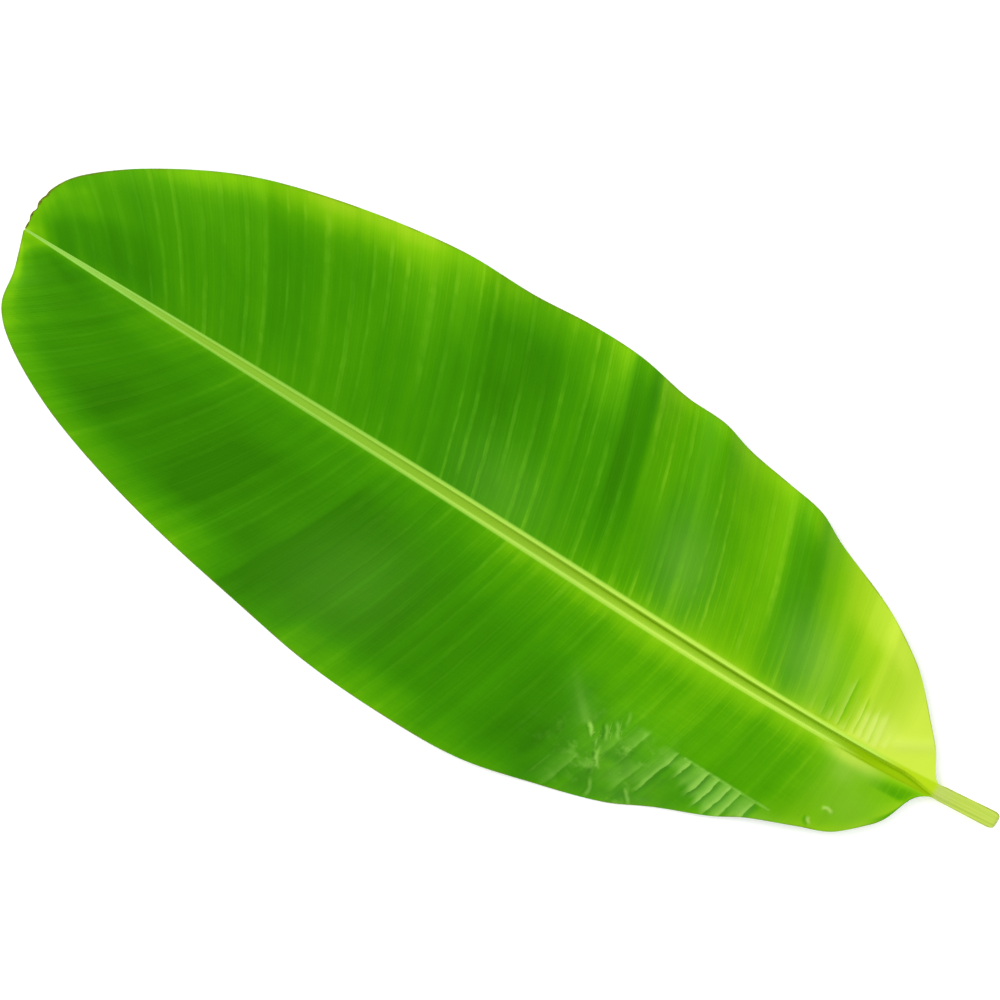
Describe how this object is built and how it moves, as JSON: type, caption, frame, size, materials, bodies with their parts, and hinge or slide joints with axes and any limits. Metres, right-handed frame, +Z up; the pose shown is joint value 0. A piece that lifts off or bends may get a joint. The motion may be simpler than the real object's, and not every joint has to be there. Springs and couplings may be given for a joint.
{
  "type": "banana leaf",
  "caption": "Cut banana leaf lying upper face up: broad wavy blade, channelled midrib with a rounded keel, short cut stalk.",
  "frame": {"origin": "centre of the bottom of the leaf's box, on the surface that the keel of the midrib lies on", "axes": "+X along the midrib from the cut stalk to the tip, +Y across the blade to its left half as seen from the stalk, +Z up, out of the upper face"},
  "size_m": [0.96, 0.3726, 0.0266],
  "materials": {
    "leaf": null
  },
  "bodies": {
    "root": {"banana_leaf": "leaf"}
  },
  "joints": []
}
